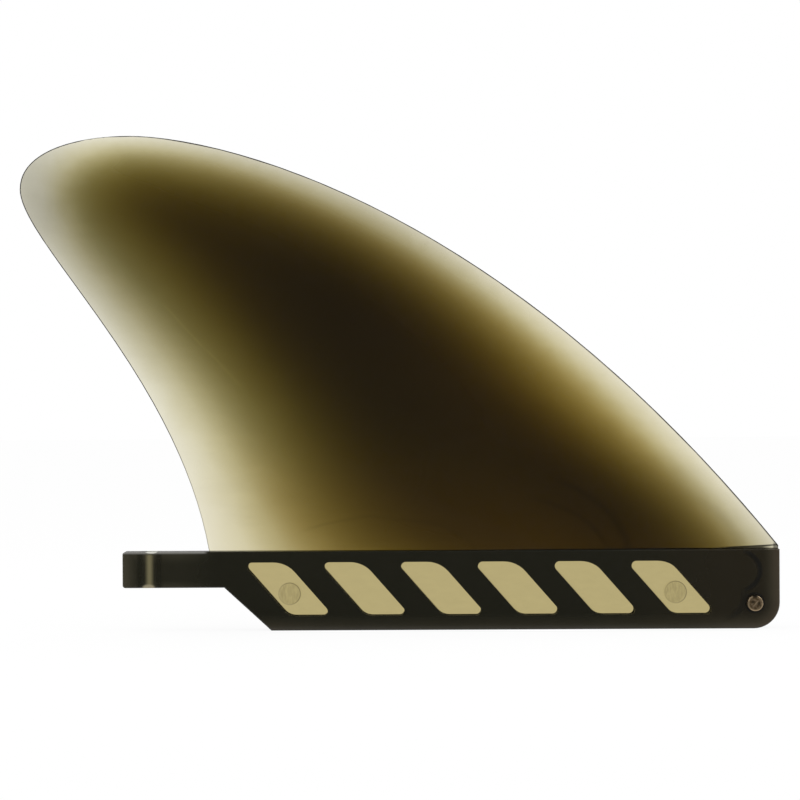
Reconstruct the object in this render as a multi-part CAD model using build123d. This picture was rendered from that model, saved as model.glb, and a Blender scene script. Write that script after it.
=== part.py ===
from build123d import *
import math
import os

# Surfboard fin, moulded in one piece, with a pressed-in brass cross pin.
# The row frame: the screw hole runs along Z, Z is 0 on the base's top face,
# +X points to the nose of the base and +Y is the fin's left-hand side.

# Base that slides into the fin box
BASE_WIDTH = 9.4
BASE_DEPTH = 22.2
NOSE_X = 177.0
NOSE_RADIUS = 7.3
EDGE_BREAK = 0.3

# Screw tab behind the base
TAB_DEPTH = 10.1
TAB_REACH = 7.3
TAB_CORNER_RADIUS = 0.8
RAMP_TOP_X = 21.2
RAMP_RUN = 13.2
SCREW_HOLE_RADIUS = 2.5
SCREW_MOUTH_BEVEL = 0.9
SCREW_CUT_PAST = 1.0

# Cross pin near the nose
PIN_RADIUS = 2.25
PIN_LENGTH = 15.9
PIN_END_BEVEL = 0.5
PIN_CLEARANCE = 0.02
PIN_SETBACK = 7.1
PIN_DROP = 15.0

# Slanted pockets in both sides of the base, with a web between each pair
POCKET_FIRST_X = 26.1
POCKET_PITCH = 21.55
POCKET_TOP_LENGTH = 12.5
POCKET_TOP_MARGIN = 3.1
POCKET_BOTTOM_MARGIN = 4.0
POCKET_SLANT = 48.8
POCKET_TIGHT_RADIUS = 1.35
POCKET_SHOULDER_RADIUS = 8.0
POCKET_FOOT_RADIUS = 4.5
POCKET_PIN_MARGIN = 3.0
WEB_THICKNESS = 1.7

# Round pads left on the web by the mould's ejector pins
EJECTOR_RADIUS = 3.05
EJECTOR_HEIGHT = 0.1
EJECTOR_AHEAD = 13.8
EJECTOR_DROP = 11.9

# Blade outline: three smooth curves from the root round the tip and back
BLADE_HEIGHT = 117.0
CREST_X = -5.4
LEADING_ROOT_PAST_NOSE = 0.8
LEADING_CREST_PULL = 24.7
LEADING_ROOT_PULL_X = 79.2
LEADING_ROOT_PULL_Z = 98.8
TIP_X = -36.0
TIP_BELOW_CREST = 14.9
TIP_CREST_PULL = 15.6
TIP_SIDE_PULL = 10.5
TRAILING_ROOT_X = 16.8
TRAILING_ROOT_PULL_X = 8.7
TRAILING_ROOT_PULL_Z = 49.7
TRAILING_TIP_PULL = 14.8
BLADE_SINK = 1.0

# Blade foil: thin rim, full thickness reached some way in from each edge
ROOT_STEP = 0.2
RIM_THICKNESS = 0.6
RIM_ROUND = 0.25
LEADING_FADE_ROOT = 35.8
LEADING_FADE_CREST = 20.0
TRAILING_FADE_ROOT = 102.0
TRAILING_FADE_CREST = 32.5
EDGE_WEDGE = 0.25
FOIL_GRID = 4.3
FOIL_CELLS_BELOW_ROOT = 3
FOIL_TOLERANCE = 0.02

pin_x = NOSE_X - PIN_SETBACK
blade_thickness = BASE_WIDTH - 2 * ROOT_STEP
side_y = BASE_WIDTH / 2
web_y = WEB_THICKNESS / 2


def base_profile():
    """Side view of the base and its tab, on the middle plane."""
    ramp_end_x = RAMP_TOP_X + RAMP_RUN
    corners = [
        (-TAB_REACH, 0),
        (NOSE_X, 0),
        (NOSE_X, -BASE_DEPTH),
        (ramp_end_x, -BASE_DEPTH),
        (RAMP_TOP_X, -TAB_DEPTH),
        (-TAB_REACH, -TAB_DEPTH),
    ]
    profile = make_face(Polyline(*corners, close=True))
    nose = profile.vertices().filter_by(lambda v: v.X > ramp_end_x and v.Y < -TAB_DEPTH)
    profile = fillet(nose, NOSE_RADIUS)
    tab_end = profile.vertices().filter_by(lambda v: v.X < 0)
    return Plane.XZ * fillet(tab_end, TAB_CORNER_RADIUS)


def base_block():
    block = extrude(base_profile(), amount=side_y, both=True)
    sides = block.faces().filter_by(Axis.Y)
    return chamfer(sides.edges(), EDGE_BREAK)


def pocket_shape(left_x):
    """Parallelogram with two tight corners, a wide shoulder and a rounded foot, in the side view."""
    top = -POCKET_TOP_MARGIN
    bottom = POCKET_BOTTOM_MARGIN - BASE_DEPTH
    lean = (top - bottom) / math.tan(math.radians(POCKET_SLANT))
    top_left = Vector(left_x, top)
    top_right = Vector(left_x + POCKET_TOP_LENGTH, top)
    bottom_right = top_right + Vector(lean, bottom - top)
    bottom_left = top_left + Vector(lean, bottom - top)
    shape = make_face(Polyline(top_left, top_right, bottom_right, bottom_left, close=True))
    roundings = [
        (top_left, POCKET_TIGHT_RADIUS),
        (bottom_right, POCKET_TIGHT_RADIUS),
        (top_right, POCKET_SHOULDER_RADIUS),
        (bottom_left, POCKET_FOOT_RADIUS),
    ]
    for corner, radius in roundings:
        shape = fillet(shape.vertices().sort_by_distance(corner)[0], radius)
    return shape


def pocket_cutter(left_x):
    """Straight-walled plug from the +Y side of the base down to the web."""
    mouth = Plane.XZ.offset(-side_y) * pocket_shape(left_x)
    return extrude(mouth, amount=side_y - web_y)


def pocket_places():
    """Left corner of every pocket that fits between the ramp and the pin."""
    height = BASE_DEPTH - POCKET_TOP_MARGIN - POCKET_BOTTOM_MARGIN
    lean = height / math.tan(math.radians(POCKET_SLANT))
    room = pin_x - PIN_RADIUS - POCKET_PIN_MARGIN - POCKET_FIRST_X - POCKET_TOP_LENGTH - lean
    count = 1 + math.floor(room / POCKET_PITCH)
    return [POCKET_FIRST_X + index * POCKET_PITCH for index in range(count)]


def ejector_pad(left_x):
    """Shallow round pad on the web's +Y face."""
    plane = Plane.XZ.offset(-web_y)
    pad = plane * Pos(left_x + EJECTOR_AHEAD, -EJECTOR_DROP) * Circle(EJECTOR_RADIUS)
    return extrude(pad, amount=-EJECTOR_HEIGHT)


def screw_hole():
    """Straight hole down through the tab, bevelled at its lower mouth."""
    mouth_radius = SCREW_HOLE_RADIUS + SCREW_MOUTH_BEVEL
    cut_bottom = -TAB_DEPTH - SCREW_CUT_PAST
    half_profile = Polyline(
        (0, 0, SCREW_CUT_PAST),
        (SCREW_HOLE_RADIUS, 0, SCREW_CUT_PAST),
        (SCREW_HOLE_RADIUS, 0, SCREW_MOUTH_BEVEL - TAB_DEPTH),
        (mouth_radius, 0, -TAB_DEPTH),
        (mouth_radius, 0, cut_bottom),
        (0, 0, cut_bottom),
        close=True,
    )
    return revolve(make_face(half_profile), Axis.Z)


def cross_rod(radius, length):
    """Round bar across the base, centred on the middle plane."""
    return Pos(pin_x, 0, -PIN_DROP) * Rot(X=90) * Cylinder(radius, length)


def leading_edges(reach):
    """Leading edge from below the root up to the crest, then round to the tip."""
    crest = Vector(CREST_X, 0, BLADE_HEIGHT)
    root = Vector(NOSE_X + LEADING_ROOT_PAST_NOSE, 0, 0)
    tip = Vector(TIP_X, 0, BLADE_HEIGHT - TIP_BELOW_CREST)
    slope = Vector(-LEADING_ROOT_PULL_X, 0, LEADING_ROOT_PULL_Z)
    foot = Line(root - slope * (reach / LEADING_ROOT_PULL_Z), root)
    front = Bezier(root, root + slope, crest + Vector(LEADING_CREST_PULL, 0, 0), crest)
    cap = Bezier(
        crest,
        crest - Vector(TIP_CREST_PULL, 0, 0),
        tip + Vector(0, 0, TIP_SIDE_PULL),
        tip,
    )
    return [foot, front, cap]


def trailing_edges(reach):
    """Trailing edge from the tip down to below the root."""
    tip = Vector(TIP_X, 0, BLADE_HEIGHT - TIP_BELOW_CREST)
    root = Vector(TRAILING_ROOT_X, 0, 0)
    slope = Vector(-TRAILING_ROOT_PULL_X, 0, TRAILING_ROOT_PULL_Z)
    back = Bezier(tip, tip - Vector(0, 0, TRAILING_TIP_PULL), root + slope, root)
    foot = Line(root, root - slope * (reach / TRAILING_ROOT_PULL_Z))
    return [back, foot]


def blade_outline(reach):
    """Side view of the blade, with both edges carried on below the root."""
    leading = leading_edges(reach)
    trailing = trailing_edges(reach)
    closing = Line(trailing[-1] @ 1, leading[0] @ 0)
    return make_face([*leading, *trailing, closing])


def crown(depth):
    """Share of the full thickness at a depth from an edge: 0 at the edge, 1 from a depth of 1."""
    depth = min(max(depth, -1), 1)
    wedge = math.sin(math.pi / 2 * depth)
    if depth <= 0:
        return EDGE_WEDGE * wedge
    swell = (1 - math.cos(math.pi * depth)) / 2
    return EDGE_WEDGE * wedge + (1 - EDGE_WEDGE) * swell


def half_thickness(point, leading, trailing, outline):
    """Half the blade's thickness at a point of its side view."""
    from_leading = min(edge.distance_to(point) for edge in leading)
    from_trailing = min(edge.distance_to(point) for edge in trailing)
    if not outline.is_inside(point):
        if from_leading < from_trailing:
            from_leading = -from_leading
        else:
            from_trailing = -from_trailing
    height = min(max(point.Z / BLADE_HEIGHT, 0), 1)
    leading_fade = LEADING_FADE_ROOT + (LEADING_FADE_CREST - LEADING_FADE_ROOT) * height**2
    trailing_fade = TRAILING_FADE_ROOT + (TRAILING_FADE_CREST - TRAILING_FADE_ROOT) * math.sqrt(height)
    fullness = crown(from_leading / leading_fade) * crown(from_trailing / trailing_fade)
    return RIM_THICKNESS / 2 + fullness * (blade_thickness - RIM_THICKNESS) / 2


def foil_skin():
    """The blade's +Y surface, as one smooth sheet that reaches past the outline."""
    reach = FOIL_CELLS_BELOW_ROOT * FOIL_GRID
    leading = leading_edges(reach)
    trailing = trailing_edges(reach)
    outline = blade_outline(reach)
    box = blade_outline(BLADE_SINK).bounding_box()
    columns = math.ceil(box.size.X / FOIL_GRID)
    rows = math.ceil(box.size.Z / FOIL_GRID)
    sheet = []
    for row in range(-1, rows + 2):
        z = box.min.Z + row * box.size.Z / rows
        line = []
        for column in range(-1, columns + 2):
            x = box.min.X + column * box.size.X / columns
            y = half_thickness(Vector(x, 0, z), leading, trailing, outline)
            line.append(Vector(x, y, z))
        sheet.append(line)
    return Face.make_surface_from_array_of_points(sheet, tol=FOIL_TOLERANCE, min_deg=3)


def blade():
    """Outline cut from a slab, then carved by the foil skin on both sides."""
    outline = Pos(0, -side_y, 0) * blade_outline(BLADE_SINK)
    slab = extrude(outline, amount=BASE_WIDTH, dir=(0, 1, 0))
    carver = Solid.extrude(foil_skin(), Vector(0, BASE_WIDTH, 0))
    solid = slab - carver - mirror(carver, about=Plane.XZ)
    nose_trim = Pos(NOSE_X, 0, 0) * Box(
        BASE_WIDTH, 2 * BASE_WIDTH, BASE_WIDTH, align=(Align.MIN, Align.CENTER, Align.CENTER)
    )
    rim = solid.edges().filter_by(lambda e: e.length > BASE_WIDTH and e.center().Z > 0)
    solid = fillet(rim, RIM_ROUND)
    return solid - nose_trim


def fin():
    body = base_block() + blade()
    places = pocket_places()
    for left_x in places:
        cutter = pocket_cutter(left_x)
        body -= cutter
        body -= mirror(cutter, about=Plane.XZ)
    for left_x in (places[0], places[-1]):
        body += ejector_pad(left_x)
    body -= screw_hole()
    body -= cross_rod(PIN_RADIUS + PIN_CLEARANCE, 2 * BASE_WIDTH)
    return body


def cross_pin():
    rod = cross_rod(PIN_RADIUS, PIN_LENGTH)
    ends = rod.edges().filter_by(GeomType.CIRCLE)
    return chamfer(ends, PIN_END_BEVEL)


os.makedirs("parts", exist_ok=True)
export_step(fin(), "parts/fin.step")
export_step(cross_pin(), "parts/cross_pin.step")
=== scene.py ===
import math

import bmesh
import bpy
from bpy.props import FloatProperty, FloatVectorProperty, PointerProperty
from mathutils import Euler, Matrix, Vector


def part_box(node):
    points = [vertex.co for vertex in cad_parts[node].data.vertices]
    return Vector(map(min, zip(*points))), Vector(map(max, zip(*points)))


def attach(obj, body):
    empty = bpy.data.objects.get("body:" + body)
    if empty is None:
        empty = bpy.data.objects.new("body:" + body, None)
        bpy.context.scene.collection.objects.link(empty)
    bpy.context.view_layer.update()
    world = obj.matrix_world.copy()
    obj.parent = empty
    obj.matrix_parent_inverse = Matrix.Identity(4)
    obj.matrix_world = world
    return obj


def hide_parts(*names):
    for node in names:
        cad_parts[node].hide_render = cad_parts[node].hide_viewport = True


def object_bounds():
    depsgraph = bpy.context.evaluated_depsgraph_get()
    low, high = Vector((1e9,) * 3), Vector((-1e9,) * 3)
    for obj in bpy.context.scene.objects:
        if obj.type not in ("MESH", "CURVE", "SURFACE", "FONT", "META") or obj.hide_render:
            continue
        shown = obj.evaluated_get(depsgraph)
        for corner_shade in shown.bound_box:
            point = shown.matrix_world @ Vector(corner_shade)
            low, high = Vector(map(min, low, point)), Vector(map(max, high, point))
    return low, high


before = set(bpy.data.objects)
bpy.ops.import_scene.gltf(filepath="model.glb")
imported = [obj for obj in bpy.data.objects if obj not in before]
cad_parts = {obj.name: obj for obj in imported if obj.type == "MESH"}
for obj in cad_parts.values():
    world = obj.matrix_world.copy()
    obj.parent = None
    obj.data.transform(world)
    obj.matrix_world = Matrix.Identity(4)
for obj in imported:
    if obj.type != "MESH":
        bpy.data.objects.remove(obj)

bl_info = {
    "name": "Surfboard Fin",
    "version": (1, 0, 0),
    "blender": (4, 5, 0),
    "location": "View3D > Sidebar > Surf Fin",
    "description": "Dresses a moulded smoke-tinted surfboard fin and its brass cross pin",
    "category": "Object",
}

# The row frame: the screw hole runs along Z, Z is 0 on the base's top face and +X is forwards.
CAD_LOW, CAD_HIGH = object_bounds()
PIN_LOW, PIN_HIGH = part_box("cross_pin")
PIN_CENTRE = (PIN_LOW + PIN_HIGH) / 2
PIN_RADIUS = (PIN_HIGH.x - PIN_LOW.x) / 2
PIN_LENGTH = PIN_HIGH.y - PIN_LOW.y
MM = 0.001
MERGE_DISTANCE = 0.001 * MM

# Places on the fin, in millimetres. The screw hole's axis is at X 0.
NOSE_X = CAD_HIGH.x / MM
BOTTOM_Z = CAD_LOW.z / MM
NOSE_RADIUS = 7.3
BASE_HALF = 4.7
TAB_END_X = -7.3
TAB_FRONT_X = 8.0
TAB_LOW_Z = -10.1
ROOT_BACK_X = 16.8
WEB_HALF = 0.85
WEB_LOW_Z = -18.3
WEB_HIGH_Z = -2.8
WEB_BACK_X = 20.0
WEB_FRONT_X = 163.5
POCKET_FIRST_X = 26.1
POCKET_TOP_Z = -3.1
POCKET_PITCH = 21.55
POCKET_LEAN = 0.875
PAD_CENTRES = ((39.4, -12.1), (148.05, -12.1))
PAD_RADIUS = 3.05
# The painted shade ring round each pad.
PAD_RING_HALF = 0.06
PAD_RING_SOFT = 0.12
PIN_AXIS = (PIN_CENTRE.x / MM, PIN_CENTRE.z / MM)

# Where smoke tint lies deeper in the blade: centre, radii, turn in degrees, share of light lost.
SMOKE_DRIFTS = (
    ((-18, 88), (90, 22), -48, 0.44),
    ((48, 76), (80, 43), -34, 0.58),
    ((133, 12), (90, 23), -27, 0.58),
    ((67, 36), (75, 56), -66, 0.50),
    ((-32, 94), (13, 15), 0, 0.12),
    ((150, 18), (15, 9), -45, 0.09),
)
# Faint curved lines where the plastic flowed together: centre, radii, the X of both ends, and
# the share of light lost.
FLOW_LINES = (
    ((88.5, 0), (46, 24), (112, 140), 0.22),
    ((100, -5), (30.5, 19.7), (104, 132), 0.16),
    ((64, -8), (33, 17.2), (40, 98), 0.08),
    ((88.5, 0), (77.8, 25.5), (152, 170), 0.07),
)
FLOW_SOFT = 0.035
FLOW_FADE = 8.0
# Light scratches on the blade, from end to end.
SCRATCHES = (
    ((4.0, 69.9), (16.0, 57.1)),
    ((16.0, 57.1), (26.5, 46.0)),
    ((87.3, 39.2), (99.9, 31.7)),
    ((106.4, 35.8), (120.4, 28.7)),
    ((71.7, 63.9), (77.3, 60.1)),
)
SCRATCH_WIDTH = 0.45
SCRATCH_GAIN = 0.09
# Oval marks, each with its centre and radii.
SPECK = ((54.5, 61.6), (0.55, 0.45))
NOSE_ARC = ((164.9, -6.0), (6.6, 5.7))
NOSE_SWIRL = ((160.4, -13.2), (6.7, 6.2))
# Painted glows at the screw hole's lower and upper mouths.
LOW_MOUTH = ((0.0, TAB_LOW_Z), (2.2, 1.3))
HIGH_MOUTH = ((0.8, 0.0), (1.9, 0.5))
# The painted bright stripe of light that the screw hole shows through the tab, and the painted
# shade beside it.
HOLE_STRIPE_X = 0.26
HOLE_STRIPE_HALF = 1.5
HOLE_SHADE = (2.3, 3.0)
# The painted shadow line in the blade's root near the nose: its height, and where and how fast it
# rises.
ROOT_LINE_Z = 0.35
ROOT_LINE_BEND_X = 162
ROOT_LINE_SLOPE = 0.05
ROOT_LINE_X = (164, 174)
# Each pair here is where a change begins and where it ends, as a place on the fin or, for a
# SIDE, as a distance from the fin's middle plane.
SMOKE_SIDE = (0.4, 2.0)
WARM_SIDE = (0.5, 1.7)
COOL_SIDE = (0.7, 1.6)
WARM_FORWARD = (60, 108)
WARM_ROOT_Z = (4, 42)
# Where painted shade lies below the root's shadow line and at the nose corner, round a painted
# glint.
UNDER_LINE_X = (156, 168)
UNDER_LINE_END_X = (172, 176)
CORNER_X = (175.3, 175.9)
CORNER_Z = (1.2, 2.0)
# Where the painted dark outline of the rim is fainter, and where a painted dark line runs along
# the front rim.
FAINT_RIM_X = (30, 40)
FAINT_RIM_Z = (8, 45)
FRONT_RIM_SIDE = (0.305, 0.335)
FRONT_RIM_FORWARD = (66, 82)
NOSE_HAZE_X = (125, 168)
# Where the painted glow in the base lies.
NOSE_GLOW_X = (150, 175)
BACK_GLOW_X = (32, 60)
GLOW_DEPTH = (0.0, 5.5)
TAB_HIGH_Z = (-4, 0)
BORE_TOP_Z = (-1.2, -0.5)
TOP_HIGHLIGHT_Z = (-0.8, -0.15)
NOSE_ARC_X = (166.2, 168.8)
SWIRL_X = (160, 165)
SWIRL_Z = (-13.5, -11)
# The painted shade ring in the base round the pin.
PIN_SHADE_RING = (2.2, 2.6)
# The share of light that is lost in each dark mark; all but the speck's are painted shade.
ROOT_LINE_LOSS = 0.93
UNDER_LINE_LOSS = 0.87
CORNER_LOSS = 0.7
RIM_LOSS = 0.95
FAINT_RIM_GAIN = 0.55
FRONT_RIM_LOSS = 0.75
SPECK_LOSS = 0.3
PAD_RING_LOSS = 0.5
# How far a place is forward and up across the blade, as shares of X and Z.
FORWARD_X = 0.74
FORWARD_Z = 0.67
# The mark that the blade's rim faces carry into the shader for their painted dark outline, and how
# to tell those faces.
RIM_MARK = "rim"
RIM_HALF = 0.31
RIM_LOW_Z = 0.1
RIM_NORMAL_Y = 0.99

# Marks on the pin's end faces, measured from its axis.
PIN_SPOTS = (((-0.65, 0.35), (0.7, 0.6)), ((1.0, -0.15), (0.6, 0.75)))
# Painted shade at the top edge of each end face.
PIN_TOP_SHADE = ((-0.1, 2.2), (1.1, 1.0))
PIN_SCRATCH = ((-0.7, -0.95), (0.9, 0.8))
PIN_SCRATCH_WIDTH = 0.2
PIN_FACE = (1.65, 1.9)
PIN_CREASE = math.radians(50)

# Fixed colours, with full alpha.
BLACK = (0.0, 0.0, 0.0, 1.0)
WHITE = (1.0, 1.0, 1.0, 1.0)
WARM_SMOKE = (1.0, 0.895, 0.70, 1.0)
COOL_SMOKE = (0.95, 0.968, 1.0, 1.0)
WEB_TINT = (0.878, 0.818, 0.685, 1.0)
INNER_SHADE = (0.003, 0.003, 0.002, 1.0)
# Colours of the painted glows at the screw hole's mouths.
LOW_MOUTH_GLOW = (0.27, 0.235, 0.15, 1.0)
HIGH_MOUTH_GLOW = (0.62, 0.62, 0.56, 1.0)
CARD_GREY = (0.25, 0.25, 0.25, 1.0)

# The stage, in metres.
FLOOR_HALF = 6.0
CARD_CENTRE = Vector((0.07, 0, 0.04))
CARD_RADIUS = 0.42
CARD_FLOOR_GAP = 0.5 * MM
CARD_SPLIT_HALF = 0.012
LAMP_SIZE = 0.35
LAMP_AWAY = 0.68
LAMP_FORWARD = -0.06


class Wire:
    """A node's output, on which Python's operators add Math nodes."""

    def __init__(self, bench, node, socket):
        self.bench = bench
        self.made = node
        self.socket = socket

    def output(self, name):
        """Another output of the same node."""
        return Wire(self.bench, self.made, self.made.outputs[name])

    def __add__(self, other):
        return self.bench.math("ADD", self, other)

    def __radd__(self, other):
        return self.bench.math("ADD", other, self)

    def __sub__(self, other):
        return self.bench.math("SUBTRACT", self, other)

    def __rsub__(self, other):
        return self.bench.math("SUBTRACT", other, self)

    def __mul__(self, other):
        return self.bench.math("MULTIPLY", self, other)

    def __rmul__(self, other):
        return self.bench.math("MULTIPLY", other, self)

    def __truediv__(self, other):
        return self.bench.math("DIVIDE", self, other)

    def __rtruediv__(self, other):
        return self.bench.math("DIVIDE", other, self)

    def __pow__(self, other):
        return self.bench.math("POWER", self, other)

    def __rpow__(self, other):
        return self.bench.math("POWER", other, self)


class Bench:
    """One node tree, and the ways of adding nodes to it."""

    def __init__(self, tree):
        self.tree = tree
        tree.nodes.clear()

    def node(self, kind, settings=None, inputs=None, output=0):
        """Adds a node: its settings first, then a value or a wire for each named input."""
        made = self.tree.nodes.new(kind)
        for name, value in (settings or {}).items():
            setattr(made, name, value)
        for name, value in (inputs or {}).items():
            if isinstance(value, Wire):
                self.tree.links.new(value.socket, made.inputs[name])
            else:
                made.inputs[name].default_value = value
        return Wire(self, made, made.outputs[output]) if made.outputs else None

    def math(self, operation, *values):
        """One Math node."""
        return self.node("ShaderNodeMath", {"operation": operation}, dict(enumerate(values)))

    def most(self, first, *others):
        """The largest of several values."""
        for other in others:
            first = self.math("MAXIMUM", first, other)
        return first

    def place_mm(self):
        """The object's own coordinates in millimetres, as a vector."""
        place = self.node("ShaderNodeTexCoord", output="Object")
        settings = {"operation": "SCALE"}
        return self.node("ShaderNodeVectorMath", settings, {0: place, "Scale": 1 / MM})

    def axes(self, vector):
        """The X, Y and Z of a vector."""
        split = self.node("ShaderNodeSeparateXYZ", inputs={0: vector})
        return split.output("X"), split.output("Y"), split.output("Z")

    def step(self, value, start, end, low=0.0, high=1.0):
        """Eases from low to high as value goes from start to end."""
        settings = {"interpolation_type": "SMOOTHSTEP", "clamp": True}
        inputs = {0: value, 1: start, 2: end, 3: low, 4: high}
        return self.node("ShaderNodeMapRange", settings, inputs)

    def fade(self, value, start, end, high=1.0):
        """Eases from high down to 0 as value goes from start to end."""
        return self.step(value, start, end, high, 0.0)

    def band(self, value, start, end, soft):
        """1 between start and end, easing to 0 over a soft width on either side."""
        return self.step(value, start - soft, start) * self.fade(value, end, end + soft)

    def stroke(self, x, z, start, end, width):
        """1 along a straight stroke between two places, easing out at its sides and ends."""
        run = math.hypot(end[0] - start[0], end[1] - start[1])
        cos = (end[0] - start[0]) / run
        sin = (end[1] - start[1]) / run
        along = (x - start[0]) * cos + (z - start[1]) * sin
        aside = self.math("ABSOLUTE", (z - start[1]) * cos - (x - start[0]) * sin)
        length = self.band(along, run * 0.1, run * 0.9, run * 0.1)
        return length * self.fade(aside, 0.0, width)

    def noise(self, vector, scale, detail, roughness=0.5):
        """Smooth noise about 0.5, finer with a larger scale."""
        inputs = {"Vector": vector, "Scale": scale, "Detail": detail, "Roughness": roughness}
        return self.node("ShaderNodeTexNoise", inputs=inputs)

    def mix(self, settings, share, first, second):
        """A colour Mix node: its colours are sockets 6 and 7, and its result is output 2."""
        inputs = {0: share, 6: first, 7: second}
        return self.node("ShaderNodeMix", {"data_type": "RGBA", **settings}, inputs, output=2)

    def blend(self, share, first, second):
        """Goes from the first colour to the second with share."""
        return self.mix({}, share, first, second)

    def grey(self, value):
        """A value as a grey colour."""
        return self.blend(value, BLACK, WHITE)

    def tint(self, first, second):
        """Multiplies two colours."""
        return self.mix({"blend_type": "MULTIPLY"}, 1.0, first, second)

    def stretched(self, vector, turn, scale):
        """The vector turned and scaled, for a pattern that runs along one direction."""
        inputs = {"Vector": vector, "Rotation": turn, "Scale": scale}
        return self.node("ShaderNodeMapping", {"vector_type": "POINT"}, inputs)


def hypot(first, second):
    """The length of a line from its two parts."""
    return (first * first + second * second) ** 0.5


def oval(x, z, centre, radii, turn=0.0):
    """How far a place is from an oval's centre, where 1 is on the oval."""
    cos = math.cos(math.radians(turn))
    sin = math.sin(math.radians(turn))
    across = x - centre[0]
    up = z - centre[1]
    return hypot((across * cos + up * sin) / radii[0], (up * cos - across * sin) / radii[1])


def spot(bench, x, z, mark, core):
    """1 in the core of an oval mark, easing to 0 at its edge."""
    return bench.fade(oval(x, z, *mark), core, 1.0)


def colour(values):
    """A colour with full alpha."""
    return (*values, 1.0)


def new_material(name):
    """A new material, and the bench of its node tree."""
    material = bpy.data.materials.new(name)
    material.use_nodes = True
    return material, Bench(material.node_tree)


class FinPlastic(bpy.types.PropertyGroup):
    """Sizes and colours of the moulded plastic"""

    kept_light: FloatVectorProperty(
        name="Tint",
        description="Colour that the plastic keeps; the rest is absorbed with depth",
        subtype="COLOR",
        min=0.0,
        max=1.0,
        default=(0.64, 0.58, 0.245),
    )
    density: FloatProperty(
        name="Tint density",
        description="How strongly the plastic absorbs light, per metre of depth",
        min=0.0,
        default=1000.0,
    )
    thick_colour: FloatVectorProperty(
        name="Thick plastic",
        description="Colour of the base, which is too thick to see through",
        subtype="COLOR",
        min=0.0,
        max=1.0,
        default=(0.008, 0.0075, 0.002),
    )
    # Painted glow: light coming through the base near its ends and bottom, painted into its
    # colour.
    edge_glow_colour: FloatVectorProperty(
        name="Glowing edge",
        description="Colour of the base close to its ends and bottom, where light comes through",
        subtype="COLOR",
        min=0.0,
        max=1.0,
        default=(0.044, 0.039, 0.023),
    )
    nose_colour: FloatVectorProperty(
        name="Nose",
        description="Colour of the brown haze inside the nose",
        subtype="COLOR",
        min=0.0,
        max=1.0,
        default=(0.013, 0.0098, 0.003),
    )
    # Painted glow of light coming through the base at its nose end.
    nose_glow_colour: FloatVectorProperty(
        name="Nose edge",
        description="Colour of the base at its nose end, where light comes through",
        subtype="COLOR",
        min=0.0,
        max=1.0,
        default=(0.046, 0.035, 0.021),
    )
    # Painted light: the bright stripe that the screw hole shows through the tab.
    hole_light_colour: FloatVectorProperty(
        name="Screw hole",
        description="Colour of the light that the screw hole lets through the tab",
        subtype="COLOR",
        min=0.0,
        max=1.0,
        default=(0.155, 0.136, 0.07),
    )
    # Painted highlight: the light line along the tab's top edge.
    top_highlight_colour: FloatVectorProperty(
        name="Top edge",
        description="Colour of the light line along the tab's top edge",
        subtype="COLOR",
        min=0.0,
        max=1.0,
        default=(0.20, 0.195, 0.18),
    )
    gloss: FloatProperty(
        name="Blade roughness",
        description="Roughness of the polished blade and webs",
        subtype="FACTOR",
        min=0.0,
        max=1.0,
        default=0.04,
    )
    base_gloss: FloatProperty(
        name="Base roughness",
        description="Roughness of the base's moulded sides",
        subtype="FACTOR",
        min=0.0,
        max=1.0,
        default=0.2,
    )
    crease: FloatProperty(
        name="Crease angle",
        description="Edges sharper than this stay sharp",
        subtype="ANGLE",
        default=math.radians(28.0),
    )


class PinBrass(bpy.types.PropertyGroup):
    """Sizes and colours of the brass cross pin"""

    clean: FloatVectorProperty(
        name="Clean brass",
        description="Colour where the brass is rubbed bright",
        subtype="COLOR",
        min=0.0,
        max=1.0,
        default=(0.62, 0.47, 0.295),
    )
    tarnished: FloatVectorProperty(
        name="Tarnished brass",
        description="Colour of the dull end face",
        subtype="COLOR",
        min=0.0,
        max=1.0,
        default=(0.17, 0.115, 0.06),
    )
    # Colour of the grime spots, and of the painted shade at each end's top edge.
    grime_and_shade_colour: FloatVectorProperty(
        name="Grimy brass",
        description="Colour of the dark spots on each end face",
        subtype="COLOR",
        min=0.0,
        max=1.0,
        default=(0.05, 0.04, 0.025),
    )
    bevel: FloatProperty(
        name="End bevel",
        description="Width of the bevel round each end",
        subtype="DISTANCE",
        unit="LENGTH",
        min=0.0,
        default=0.5 * MM,
    )


class Studio(bpy.types.PropertyGroup):
    """Camera, lamps and floor"""

    distance: FloatProperty(
        name="Camera distance",
        description="From the camera to the fin's middle plane",
        subtype="DISTANCE",
        unit="LENGTH",
        default=1.2,
    )
    lens: FloatProperty(
        name="Lens",
        description="Focal length of the lens in millimetres",
        default=191.83,
    )
    look_at: FloatVectorProperty(
        name="Aim",
        description="Point at the centre of the picture",
        subtype="XYZ",
        unit="LENGTH",
        default=(0.07075, 0.0, 0.04231),
    )
    roll: FloatProperty(
        name="Roll",
        description="How far the camera leans to one side",
        subtype="ANGLE",
        default=-0.0048,
    )
    lamp_power: FloatProperty(
        name="Lamp power",
        description="Power of each soft lamp",
        unit="POWER",
        default=1.2,
    )
    floor_white: FloatVectorProperty(
        name="Floor",
        description="Colour of the floor",
        subtype="COLOR",
        min=0.0,
        max=1.0,
        default=(0.9, 0.9, 0.9),
    )


def show_mesh(shape, name):
    """Makes an object of a finished bmesh, at the origin."""
    mesh = bpy.data.meshes.new(name)
    shape.to_mesh(mesh)
    shape.free()
    made = bpy.data.objects.new(name, mesh)
    bpy.context.scene.collection.objects.link(made)
    return made


def smooth_with_creases(shape, crease):
    """Smooth faces, with every edge sharper than the crease angle kept sharp."""
    for face in shape.faces:
        face.smooth = True
    for edge in shape.edges:
        edge.smooth = edge.calc_face_angle(0.0) < crease


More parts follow.
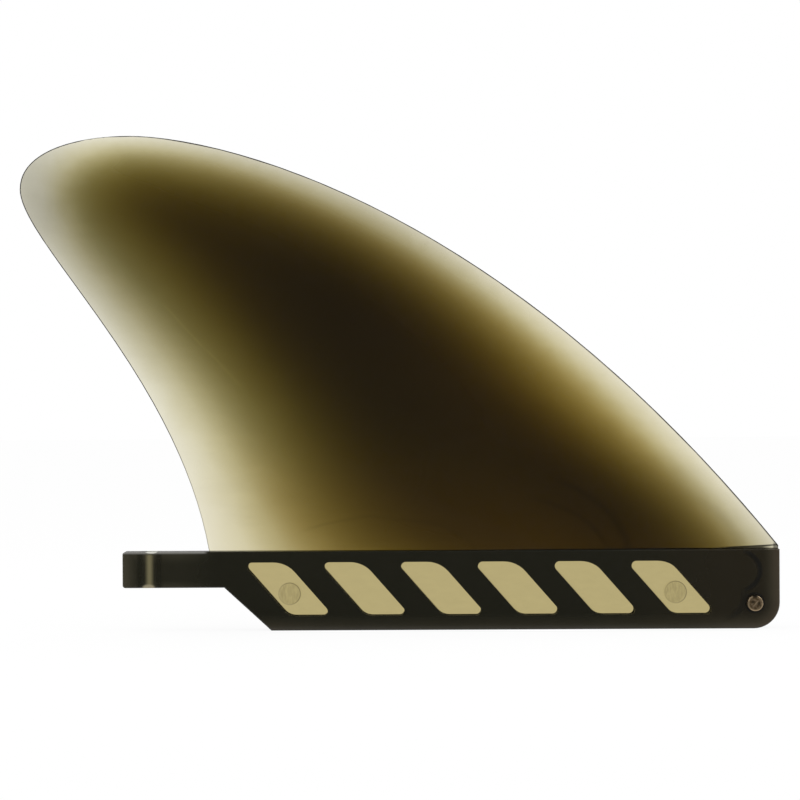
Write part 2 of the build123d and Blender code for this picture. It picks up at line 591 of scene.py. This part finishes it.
def blade_smoke(bench, x, side, z):
    """The light that the blade's thick parts and its drifts of smoke leave."""
    kept = bench.step(side, *SMOKE_SIDE, 1.0, 0.82)
    for centre, radii, turn, loss in SMOKE_DRIFTS:
        reach = oval(x, z, centre, radii, turn)
        kept = kept * bench.step(reach, 0.0, 1.0, 1.0 - loss, 1.0)
    return kept


def blade_marks(bench, place, x, z):
    """The light that the blade's streaks, flow lines, scratches and speck leave."""
    wander = bench.noise(place, 0.09, 3.0) - 0.5
    streaks = bench.stretched(place, (0, math.radians(35), 0), (0.05, 1.0, 0.4))
    grain = bench.noise(streaks, 0.8, 4.0, 0.6)
    cloud = bench.noise(place, 0.12, 3.0)
    kept = (0.95 + grain * 0.10) * (0.97 + cloud * 0.06)
    for centre, radii, (back, front), loss in FLOW_LINES:
        ring = oval(x + wander * 3, z + wander * 4, centre, radii)
        line = bench.band(ring, 0.995, 1.005, FLOW_SOFT)
        line = line * bench.band(x, back + FLOW_FADE, front, FLOW_FADE)
        kept = kept * (1 - line * bench.step(z, -0.5, 0.5) * loss)
    for start, end in SCRATCHES:
        scratch = bench.stroke(x + wander, z + wander, start, end, SCRATCH_WIDTH)
        kept = kept * (1 + scratch * SCRATCH_GAIN)
    return kept * (1 - spot(bench, x, z, SPECK, 0.4) * SPECK_LOSS)


def blade_edges(bench, x, side, z, forward):
    """The light that the painted shadow line at the blade's root, the painted shade round a
    painted glint near the nose and the painted dark outline of its rim leave.
    """
    rise = ROOT_LINE_Z + bench.most(x - ROOT_LINE_BEND_X, 0.0) * ROOT_LINE_SLOPE
    height = z - rise
    # Painted shadow line at the root, and painted shade below it and at the nose corner, which
    # leaves a painted glint between them.
    line = bench.band(height, -0.14, 0.10, 0.14) * bench.band(x, *ROOT_LINE_X, 6.0)
    shade_under_root_line = bench.fade(height, -0.25, -0.1) * bench.step(x, *UNDER_LINE_X)
    shade_under_root_line = shade_under_root_line * bench.fade(x, *UNDER_LINE_END_X, UNDER_LINE_LOSS)
    corner_shade = bench.step(x, *CORNER_X) * bench.fade(z, *CORNER_Z)
    # Painted dark outline on the rim faces, fainter at the back of the root, and a painted dark
    # line along the front rim.
    rim = bench.node("ShaderNodeAttribute", {"attribute_name": RIM_MARK}, output="Fac")
    faint = bench.fade(x, *FAINT_RIM_X) * bench.fade(z, *FAINT_RIM_Z, FAINT_RIM_GAIN)
    front_rim = bench.fade(side, *FRONT_RIM_SIDE) * bench.step(forward, *FRONT_RIM_FORWARD)
    kept = (1 - line * ROOT_LINE_LOSS) * (1 - shade_under_root_line) * (1 - corner_shade * CORNER_LOSS)
    return kept * (1 - rim * (RIM_LOSS - faint)) * (1 - front_rim * FRONT_RIM_LOSS)


def blade_hue(bench, side, z, forward):
    """Warmer towards the front and the root, and a little cooler where the back is thick."""
    warm = bench.most(bench.step(forward, *WARM_FORWARD), bench.fade(z, *WARM_ROOT_Z))
    warm = warm * bench.step(side, *WARM_SIDE, 0.2, 1.0)
    cool = bench.blend(bench.step(side, *COOL_SIDE), WHITE, COOL_SMOKE)
    return bench.blend(warm, cool, WARM_SMOKE)


def blade_tint(bench, place, x, side, z):
    """The colour that the blade's surface keeps, over what the smoke absorbs with depth."""
    forward = x * FORWARD_X + z * FORWARD_Z
    kept = blade_smoke(bench, x, side, z) * blade_marks(bench, place, x, z)
    kept = kept * blade_edges(bench, x, side, z, forward)
    return bench.tint(bench.grey(kept), blade_hue(bench, side, z, forward))


def web_tint(bench, place, x, z):
    """The colour that a web's surface keeps: painted shade along one wall of each pocket, and the
    two round ejector pads with painted shade rings, darker on one side.
    """
    lane = x - POCKET_FIRST_X + (z - POCKET_TOP_Z) * POCKET_LEAN
    lane = bench.math("WRAP", lane, POCKET_PITCH, 0.0)
    streaks = bench.stretched(place, (0, -0.3, 0), (0.5, 1.0, 1.4))
    cloud = bench.noise(streaks, 0.5, 4.0)
    # Painted shade along one wall of each pocket.
    kept = bench.step(lane, 0.1, 1.0, 0.92, 1.0) * (0.92 + cloud * 0.12)
    scuffs = bench.stretched(place, (0, 0.6, 0), (1.8, 1.0, 0.5))
    mottle = bench.step(bench.noise(scuffs, 0.9, 3.0), 0.3, 0.7)
    for centre in PAD_CENTRES:
        radius = hypot(x - centre[0], z - centre[1])
        # The painted shade ring round each pad, darker on one side.
        facing = bench.step(x - centre[0] + (z - centre[1]) * 0.6, -3.0, 2.5, 0.45, 1.0)
        ring = bench.math("ABSOLUTE", radius - PAD_RADIUS)
        ring = bench.fade(ring, PAD_RING_HALF, PAD_RING_HALF + PAD_RING_SOFT) * facing
        inside = bench.fade(radius, PAD_RADIUS - 0.2, PAD_RADIUS)
        kept = kept * (1 - ring * PAD_RING_LOSS) * (1 - inside * (0.04 + mottle * 0.22))
    return bench.tint(bench.grey(kept), WEB_TINT)


def nose_glow(bench, x, z):
    """Painted glow: the light that comes through the base close to its rounded nose and its
    bottom, painted into its colour.
    """
    nose = bench.most(x - (NOSE_X - NOSE_RADIUS), 0.0)
    foot = bench.most(BOTTOM_Z + NOSE_RADIUS - z, 0.0)
    inward = NOSE_RADIUS - hypot(nose, foot)
    strength = bench.step(x, *NOSE_GLOW_X, 0.40, 1.0) + bench.fade(x, *BACK_GLOW_X, 0.22)
    return bench.fade(inward, *GLOW_DEPTH) ** 1.3 * strength


def tab_glow(bench, x, z):
    """Painted glow: the light that comes through the tab close to its end, its bottom and its top,
    painted into its colour.
    """
    end = bench.fade(x, TAB_END_X - 1, TAB_END_X + 6)
    low = bench.fade(z, TAB_LOW_Z, TAB_LOW_Z + 3, 0.5)
    high = bench.step(z, *TAB_HIGH_Z, 0.0, 0.45) + 0.14
    return bench.most(end, low, high)


def base_shade(bench, x, z):
    """How dark the arc and the swirl inside the nose are, and the painted shade ring round the
    pin.
    """
    arc = bench.band(oval(x, z, *NOSE_ARC), 0.98, 1.02, 0.14)
    arc = arc * bench.step(x, *NOSE_ARC_X)
    swirl = bench.band(oval(x, z, *NOSE_SWIRL), 0.98, 1.02, 0.2)
    swirl = swirl * bench.step(x, *SWIRL_X, 0.0, 0.5) * bench.fade(z, *SWIRL_Z)
    # Painted shade round the pin.
    pin_shade_ring = bench.band(hypot(x - PIN_AXIS[0], z - PIN_AXIS[1]), *PIN_SHADE_RING, 0.5)
    return bench.most(bench.most(arc, swirl) * 0.85, pin_shade_ring * 0.7)


def base_colour(bench, settings, place, x, z):
    """Near black, with painted glow towards the nose, the bottom and the tab's ends, a painted
    bright stripe and painted glows at the screw hole, a painted highlight on the top edge and
    painted shade inside the nose and round the pin.
    """
    tab = bench.fade(x, TAB_FRONT_X, TAB_FRONT_X + 12)
    stripe = bench.math("ABSOLUTE", x - HOLE_STRIPE_X)
    shade_beside_stripe = bench.band(stripe, *HOLE_SHADE, 0.9) * tab
    near_nose = nose_glow(bench, x, z)
    # Painted glow near the nose, the bottom and the tab, dimmed by painted shade beside the screw
    # hole's stripe.
    glow = bench.most(near_nose, tab_glow(bench, x, z) * tab) * (1 - shade_beside_stripe * 0.8)
    cloud = bench.noise(place, 0.15, 3.0)
    glow = glow * (0.85 + cloud * 0.3) + (cloud - 0.4) * 0.05
    # The colour of the painted glow.
    edge = bench.blend(near_nose, colour(settings.edge_glow_colour), colour(settings.nose_glow_colour))
    haze = bench.step(x, *NOSE_HAZE_X)
    plain = bench.blend(haze, colour(settings.thick_colour), colour(settings.nose_colour))
    # Painted bright stripe of light through the tab at the screw hole.
    hole_stripe_light = bench.fade(stripe, 0.0, HOLE_STRIPE_HALF) * tab
    hole_stripe_light = hole_stripe_light * bench.step(z, *BORE_TOP_Z, 1.0, 0.4)
    # Painted highlight along the tab's top edge.
    top = bench.step(z, *TOP_HIGHLIGHT_Z) * bench.fade(x, ROOT_BACK_X - 1.5, ROOT_BACK_X)
    layers = (
        (glow, edge),
        (hole_stripe_light, colour(settings.hole_light_colour)),
        (base_shade(bench, x, z), INNER_SHADE),
        (top, colour(settings.top_highlight_colour)),
        # Painted glows at the screw hole's mouths.
        (spot(bench, x, z, LOW_MOUTH, 0.5), LOW_MOUTH_GLOW),
        (spot(bench, x, z, HIGH_MOUTH, 0.6), HIGH_MOUTH_GLOW),
    )
    for share, layer in layers:
        plain = bench.blend(share, plain, layer)
    return plain


def mark_rim(shape):
    """Marks the narrow rounded faces round the blade's edge, which look dark against the light."""
    shape.normal_update()
    layer = shape.faces.layers.float.new(RIM_MARK)
    for face in shape.faces:
        centre = face.calc_center_median() / MM
        thin = abs(centre.y) < RIM_HALF and centre.z > RIM_LOW_Z
        face[layer] = float(thin and abs(face.normal.y) < RIM_NORMAL_Y)


def fin_plastic(settings):
    """Smoke-tinted plastic: clear in the blade and webs, and opaque where the base is thick."""
    material, bench = new_material("smoke_plastic")
    place = bench.place_mm()
    x, y, z = bench.axes(place)
    side = bench.math("ABSOLUTE", y)
    fine = bench.noise(place, 1.4, 4.0, 0.6)
    pockets = bench.band(x, WEB_BACK_X, WEB_FRONT_X, 0.5)
    blade = bench.step(z, 0.02, 0.15)
    web = bench.fade(side, WEB_HALF + 0.12, WEB_HALF + 0.25)
    web = web * bench.band(z, WEB_LOW_Z, WEB_HIGH_Z, 0.2) * pockets
    wall = bench.fade(side, BASE_HALF - 0.25, BASE_HALF - 0.1)
    wall = wall * bench.band(z, WEB_LOW_Z - 0.2, WEB_HIGH_Z + 0.2, 0.2) * pockets
    web_colour = web_tint(bench, place, x, z)
    blade_colour = blade_tint(bench, place, x, side, z)
    clear = bench.node(
        "ShaderNodeBsdfPrincipled",
        inputs={
            "Base Color": bench.blend(blade, web_colour, blade_colour),
            "Transmission Weight": 1.0,
            "Roughness": settings.gloss * (0.6 + fine * 0.8),
            "IOR": 1.2,
            "Specular IOR Level": 1.0,
            "Coat Weight": 0.28,
        },
    )
    ripples = {"Strength": 0.12, "Distance": 0.02 * MM, "Height": fine}
    thick = bench.node(
        "ShaderNodeBsdfPrincipled",
        inputs={
            "Base Color": base_colour(bench, settings, place, x, z),
            "Roughness": settings.base_gloss * (0.8 + fine * 0.4) + wall * 0.6,
            "IOR": 1.5,
            "Specular IOR Level": 0.3,
            "Normal": bench.node("ShaderNodeBump", inputs=ripples),
        },
    )
    solid = (1 - blade) * (1 - web)
    mixed = bench.node("ShaderNodeMixShader", inputs={0: solid, 1: clear, 2: thick})
    depth = bench.node(
        "ShaderNodeVolumeAbsorption",
        inputs={"Color": colour(settings.kept_light), "Density": settings.density},
    )
    bench.node("ShaderNodeOutputMaterial", inputs={"Surface": mixed, "Volume": depth})
    return material


def pin_brass(settings):
    """Turned brass with tarnished and spotted ends, each crossed by one bright scratch, and with
    painted shade at the top edge and towards the bottom of each end.
    """
    material, bench = new_material("pin_brass")
    place = bench.place_mm()
    x, _, z = bench.axes(place)
    across = x - PIN_AXIS[0]
    up = z - PIN_AXIS[1]
    blotch = bench.noise(place, 1.7, 3.0, 0.6)
    tarnish_and_shade = bench.fade(hypot(across, up), *PIN_FACE) * bench.step(blotch, 0.38, 0.6, 0.6, 1.0)
    # Painted shade: more of the tarnished colour towards the bottom of each end.
    tarnish_and_shade = bench.most(tarnish_and_shade, bench.fade(up, -1.4, 0.9, 0.6))
    spots = bench.most(*(spot(bench, across, up, mark, 0.3) for mark in PIN_SPOTS))
    # Grime spots, and painted shade at the top edge.
    grime_and_shade = bench.most(spots * 0.8, spot(bench, across, up, PIN_TOP_SHADE, 0.4))
    scratch = bench.stroke(across, up, *PIN_SCRATCH, PIN_SCRATCH_WIDTH)
    metal = bench.blend(tarnish_and_shade, colour(settings.clean), colour(settings.tarnished))
    metal = bench.blend(grime_and_shade, metal, colour(settings.grime_and_shade_colour))
    metal = bench.blend(scratch, metal, colour(settings.clean))
    lathe = bench.noise(bench.stretched(place, (0, 0, 0), (0.2, 6.0, 0.2)), 1.5, 3.0)
    grooves = {"Strength": 0.3, "Distance": 0.02 * MM, "Height": lathe}
    shade = bench.node(
        "ShaderNodeBsdfPrincipled",
        inputs={
            "Base Color": metal,
            "Metallic": 1.0,
            "Roughness": 0.24 + tarnish_and_shade * 0.16,
            "Normal": bench.node("ShaderNodeBump", inputs=grooves),
        },
    )
    bench.node("ShaderNodeOutputMaterial", inputs={"Surface": shade})
    return material


def floor_paint(settings):
    """Plain white floor that keeps a soft share of the fin's shadow."""
    material, bench = new_material("studio_floor")
    rays = bench.node("ShaderNodeLightPath", output="Is Camera Ray")
    seen = rays + rays.output("Is Glossy Ray") + rays.output("Is Transmission Ray")
    share = bench.math("MINIMUM", seen, 1.0) * 0.9
    paint = bench.node("ShaderNodeBsdfDiffuse", inputs={"Color": colour(settings.floor_white)})
    white = bench.node("ShaderNodeEmission", inputs={"Color": WHITE})
    mixed = bench.node("ShaderNodeMixShader", inputs={0: share, 1: paint, 2: white})
    bench.node("ShaderNodeOutputMaterial", inputs={"Surface": mixed})
    return material


def studio_air(scene):
    """White all round, but dimmer at the sides for light that comes through the plastic."""
    world = bpy.data.worlds.new("studio")
    world.use_nodes = True
    scene.world = world
    bench = Bench(world.node_tree)
    camera = bench.node("ShaderNodeLightPath", output="Is Camera Ray")
    through = camera.output("Is Transmission Ray") * (1 - camera)
    direction = bench.node("ShaderNodeTexCoord", output="Generated")
    _, depth, _ = bench.axes(direction)
    window = bench.step(bench.math("ABSOLUTE", depth), 0.1, 0.6, 0.45, 1.0)
    strength = 1 - through * (1 - window)
    light = bench.node("ShaderNodeBackground", inputs={"Color": WHITE, "Strength": strength})
    bench.node("ShaderNodeOutputWorld", inputs={"Surface": light})


def cut(shape, point, normal, clear_inner=False):
    """Cuts a shape along a plane. With clear_inner, what lies behind the plane goes."""
    bmesh.ops.bisect_plane(
        shape,
        geom=shape.verts[:] + shape.edges[:] + shape.faces[:],
        plane_co=point,
        plane_no=normal,
        clear_inner=clear_inner,
    )


def dark_cards():
    """Two dark curved cards, before and behind the fin, which only its gloss shows."""
    shape = bmesh.new()
    bmesh.ops.create_uvsphere(shape, u_segments=48, v_segments=24, radius=CARD_RADIUS)
    bmesh.ops.translate(shape, vec=CARD_CENTRE, verts=shape.verts)
    above_floor = Vector((0, 0, CAD_LOW.z + CARD_FLOOR_GAP))
    cut(shape, above_floor, Vector((0, 0, 1)), clear_inner=True)
    bmesh.ops.holes_fill(shape, edges=[edge for edge in shape.edges if edge.is_boundary])
    for side in (-1, 1):
        cut(shape, Vector((0, side * CARD_SPLIT_HALF, 0)), Vector((0, 1, 0)))
    split = [face for face in shape.faces if abs(face.calc_center_median().y) < CARD_SPLIT_HALF]
    bmesh.ops.delete(shape, geom=split, context="FACES")
    card = show_mesh(shape, "dark_cards")
    material, bench = new_material("dark_card")
    felt = bench.node("ShaderNodeBsdfDiffuse", inputs={"Color": CARD_GREY})
    bench.node("ShaderNodeOutputMaterial", inputs={"Surface": felt})
    card.data.materials.append(material)
    card.visible_camera = False
    card.visible_diffuse = False
    card.visible_transmission = False
    card.visible_volume_scatter = False
    card.visible_shadow = False


def soft_lamp(name, place, target, power):
    """A round lamp that faces its target."""
    data = bpy.data.lights.new(name, "AREA")
    data.shape = "DISK"
    data.size = LAMP_SIZE
    data.energy = power
    lamp = bpy.data.objects.new(name, data)
    lamp.location = place
    lamp.rotation_euler = (target - place).to_track_quat("-Z", "Y").to_euler()
    bpy.context.scene.collection.objects.link(lamp)


class FIN_OT_make_moulding(bpy.types.Operator):
    """Shows the moulded fin in smoke-tinted plastic"""

    bl_idname = "fin.make_moulding"
    bl_label = "Moulded fin"

    def execute(self, context):
        settings = context.scene.fin_plastic
        shape = bmesh.new()
        shape.from_mesh(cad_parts["fin"].data)
        bmesh.ops.remove_doubles(shape, verts=shape.verts, dist=MERGE_DISTANCE)
        smooth_with_creases(shape, settings.crease)
        mark_rim(shape)
        fin = show_mesh(shape, "moulded_fin")
        fin.data.materials.clear()
        fin.data.materials.append(fin_plastic(settings))
        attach(fin, "root")
        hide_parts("fin")
        return {"FINISHED"}


class FIN_OT_make_pin(bpy.types.Operator):
    """Turns the brass pin across the nose"""

    bl_idname = "fin.make_pin"
    bl_label = "Cross pin"

    def execute(self, context):
        settings = context.scene.pin_brass
        shape = bmesh.new()
        bmesh.ops.create_cone(
            shape,
            cap_ends=True,
            segments=64,
            radius1=PIN_RADIUS,
            radius2=PIN_RADIUS,
            depth=PIN_LENGTH,
        )
        ends = [edge for edge in shape.edges if abs(edge.verts[0].co.z - edge.verts[1].co.z) < MM]
        bmesh.ops.bevel(
            shape,
            geom=ends,
            offset=settings.bevel,
            affect="EDGES",
            segments=3,
            profile=0.5,
            material=-1,
        )
        turned = Euler((math.radians(90), 0, 0)).to_matrix().to_4x4()
        across = Matrix.Translation(PIN_CENTRE) @ turned
        bmesh.ops.transform(shape, matrix=across, verts=shape.verts)
        smooth_with_creases(shape, PIN_CREASE)
        pin = show_mesh(shape, "turned_pin")
        pin.data.materials.append(pin_brass(settings))
        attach(pin, "root")
        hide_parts("cross_pin")
        return {"FINISHED"}


class FIN_OT_make_studio(bpy.types.Operator):
    """Sets up the floor, the lamps, the air and the camera"""

    bl_idname = "fin.make_studio"
    bl_label = "Studio"

    def execute(self, context):
        scene = context.scene
        settings = scene.fin_studio
        shape = bmesh.new()
        bmesh.ops.create_grid(shape, x_segments=1, y_segments=1, size=FLOOR_HALF)
        bmesh.ops.translate(shape, vec=Vector((0, 0, CAD_LOW.z)), verts=shape.verts)
        floor = show_mesh(shape, "floor")
        floor.data.materials.append(floor_paint(settings))
        dark_cards()
        studio_air(scene)
        target = Vector(settings.look_at)
        for name, side in (("left_lamp", -1), ("right_lamp", 1)):
            place = target + Vector((side * LAMP_AWAY, LAMP_FORWARD, LAMP_AWAY))
            soft_lamp(name, place, target, settings.lamp_power)
        data = bpy.data.cameras.new("camera")
        data.lens = settings.lens
        data.clip_start = 0.01
        camera = bpy.data.objects.new("camera", data)
        camera.location = target - Vector((0, settings.distance, 0))
        facing = Euler((math.radians(90), 0, 0)).to_matrix()
        camera.rotation_euler = (facing @ Matrix.Rotation(settings.roll, 3, "Z")).to_euler()
        scene.collection.objects.link(camera)
        scene.camera = camera
        scene.view_settings.view_transform = "Standard"
        return {"FINISHED"}


class FIN_PT_sidebar(bpy.types.Panel):
    """Buttons and values for the fin"""

    bl_idname = "FIN_PT_sidebar"
    bl_label = "Surfboard Fin"
    bl_space_type = "VIEW_3D"
    bl_region_type = "UI"
    bl_category = "Surf Fin"

    def draw(self, context):
        scene = context.scene
        groups = (
            (FIN_OT_make_moulding, scene.fin_plastic, FinPlastic),
            (FIN_OT_make_pin, scene.pin_brass, PinBrass),
            (FIN_OT_make_studio, scene.fin_studio, Studio),
        )
        for maker, settings, group in groups:
            box = self.layout.box()
            box.operator(maker.bl_idname)
            for name in group.__annotations__:
                box.prop(settings, name)


CLASSES = (
    FinPlastic,
    PinBrass,
    Studio,
    FIN_OT_make_moulding,
    FIN_OT_make_pin,
    FIN_OT_make_studio,
    FIN_PT_sidebar,
)


def register():
    for kind in CLASSES:
        bpy.utils.register_class(kind)
    bpy.types.Scene.fin_plastic = PointerProperty(type=FinPlastic)
    bpy.types.Scene.pin_brass = PointerProperty(type=PinBrass)
    bpy.types.Scene.fin_studio = PointerProperty(type=Studio)


def unregister():
    del bpy.types.Scene.fin_studio
    del bpy.types.Scene.pin_brass
    del bpy.types.Scene.fin_plastic
    for kind in reversed(CLASSES):
        bpy.utils.unregister_class(kind)


def main():
    register()
    bpy.ops.fin.make_moulding()
    bpy.ops.fin.make_pin()
    bpy.ops.fin.make_studio()


if __name__ == "__main__":
    main()
